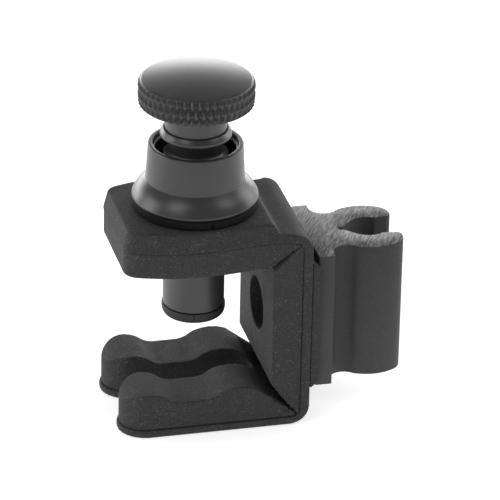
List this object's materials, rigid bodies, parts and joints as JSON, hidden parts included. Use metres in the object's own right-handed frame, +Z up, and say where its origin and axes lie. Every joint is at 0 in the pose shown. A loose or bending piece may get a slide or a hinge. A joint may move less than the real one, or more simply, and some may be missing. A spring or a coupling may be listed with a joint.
{
  "type": "rim clamp with rod clip",
  "caption": "Small rubber-jacketed C clamp: a knurled screw presses a foot towards a forked padded jaw, and a snap-in clip on its back holds a rod.",
  "frame": {"origin": "on the clamping screw's axis, level with the crests of the fork's pads, where a clamped rim lies", "axes": "+Z up along the clamping screw, from the fork to the knob; +X from the open jaw to the rod clip on the back; +Y across the bracket"},
  "size_m": [0.0464, 0.0228, 0.0572],
  "materials": {
    "jacket_rubber": "matte, finely grained",
    "strip_steel": "plain rolled",
    "black_anodised": "satin black anodised, turned",
    "ring_rubber": "smooth matte",
    "bush_brass": "turned",
    "spring_steel": "oiled",
    "black_steel": "black oxide",
    "foot_plastic": "moulded",
    "clip_plastic": "extruded, saw-cut ends"
  },
  "bodies": {
    "bracket": {"core_strip": "strip_steel", "outer_cover": "jacket_rubber", "upper_block": "jacket_rubber", "back_block": "jacket_rubber", "lower_block": "jacket_rubber", "clip_seat": "jacket_rubber", "collar": "black_anodised", "base_ring": "ring_rubber", "thread_bush": "bush_brass", "snap_ring": "spring_steel", "lock_washer": "black_steel", "lock_ring": "black_steel", "clip_washer": "black_steel", "spring_washer": "spring_steel"},
    "foot": {"foot_cap": "foot_plastic"},
    "screw": {"spindle": "black_anodised", "stop_ring": "black_anodised", "knob": "black_anodised"},
    "clip": {"rod_clip": "clip_plastic", "clip_screw": "black_steel"}
  },
  "joints": [
    {"name": "screw_travel", "type": "slide", "parent": "bracket", "child": "foot", "axis": [0, 0, 1], "range_m": [-0.00626, 0.00851]},
    {"name": "knob_turn", "type": "hinge", "parent": "foot", "child": "screw", "pos_m": [0, 0, 0.02], "axis": [0, 0, 1], "range_deg": [-1800, 2448]},
    {"name": "clip_turn", "type": "hinge", "parent": "bracket", "child": "clip", "pos_m": [0.0179, 0, 0.0091], "axis": [1, 0, 0], "continuous": true}
  ],
  "couplings": [
    {"joint": "screw_travel", "follows": "knob_turn", "m_per_rad": 0.00019894}
  ]
}
